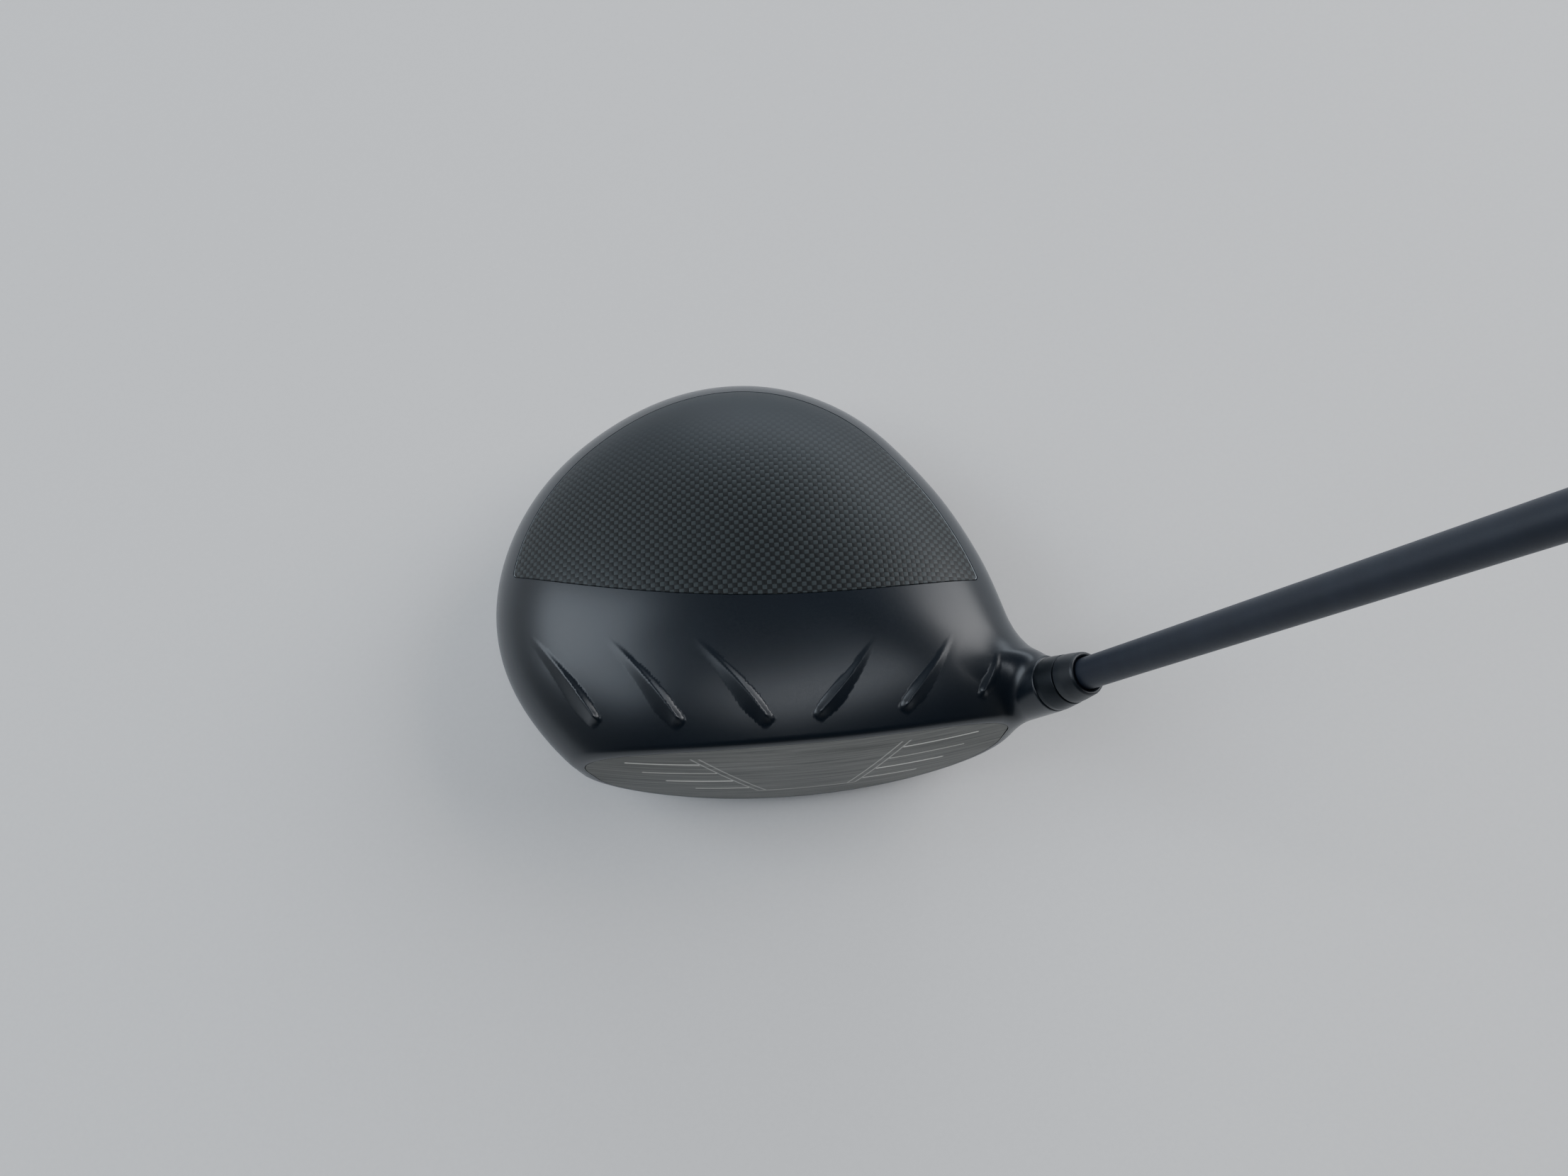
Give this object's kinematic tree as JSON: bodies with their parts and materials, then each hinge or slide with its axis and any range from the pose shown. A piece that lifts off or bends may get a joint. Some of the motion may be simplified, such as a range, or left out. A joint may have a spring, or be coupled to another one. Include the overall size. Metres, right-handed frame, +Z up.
{
  "type": "golf driver",
  "caption": "Right-handed golf driver: hollow metal head with composite crown and face plate, adjustable hosel sleeve, sliding rear weight, tapered shaft and rubber grip.",
  "frame": {"origin": "middle of the flat pad on the sole that the club rests on at address", "axes": "+X from toe to heel, +Y from the face to the rear of the head, +Z up; the shaft's axis lies in the plane y = -30 mm at 57 degrees to the ground"},
  "size_m": [0.7637, 0.1286, 0.9764],
  "materials": {
    "painted_titanium": "satin black paint",
    "milled_titanium": "milled, dark grey",
    "carbon_crown": "woven carbon fibre under a satin clear coat",
    "satin_aluminium": "satin",
    "tungsten": "sintered, bead blasted",
    "screw_steel": "satin",
    "black_aluminium": "black anodised",
    "ferrule_plastic": "satin black",
    "painted_carbon_shaft": "matte blue-black paint",
    "plug_foam": "foam",
    "paper_tape": "crepe paper tape",
    "grip_rubber": "moulded, matte"
  },
  "bodies": {
    "head": {"head_body": "painted_titanium", "face_insert": "milled_titanium", "crown_panel": "carbon_crown", "sole_badge": "satin_aluminium", "bolt_washer": "screw_steel", "bolt_retaining_ring": "screw_steel"},
    "club_shaft": {"adapter_sleeve": "black_aluminium", "thread_insert": "screw_steel", "ferrule": "ferrule_plastic", "shaft": "painted_carbon_shaft", "shaft_tip_plug": "plug_foam", "grip_tape": "paper_tape", "grip": "grip_rubber", "grip_cap": "grip_rubber"},
    "bolt": {"hosel_bolt": "screw_steel"},
    "rear_weight": {"back_weight": "tungsten", "weight_nut": "screw_steel"},
    "rear_weight_screw": {"weight_screw": "screw_steel"}
  },
  "joints": [
    {"name": "shaft_pull", "type": "slide", "parent": "head", "child": "club_shaft", "axis": [0.5446, 0, 0.8387], "range_m": [0, 0.045]},
    {"name": "bolt_turn", "type": "hinge", "parent": "head", "child": "bolt", "pos_m": [0.05, -0.03, 0.01848], "axis": [0.5446, 0, 0.8387], "continuous": true},
    {"name": "weight_slide", "type": "hinge", "parent": "head", "child": "rear_weight", "pos_m": [-0.014, 0.017, 0.015], "axis": [0, 0, 1], "range_deg": [-16, 16]},
    {"name": "weight_screw_turn", "type": "hinge", "parent": "rear_weight", "child": "rear_weight_screw", "pos_m": [-0.014, 0.067, 0.015], "axis": [0, 0, 1], "continuous": true}
  ]
}
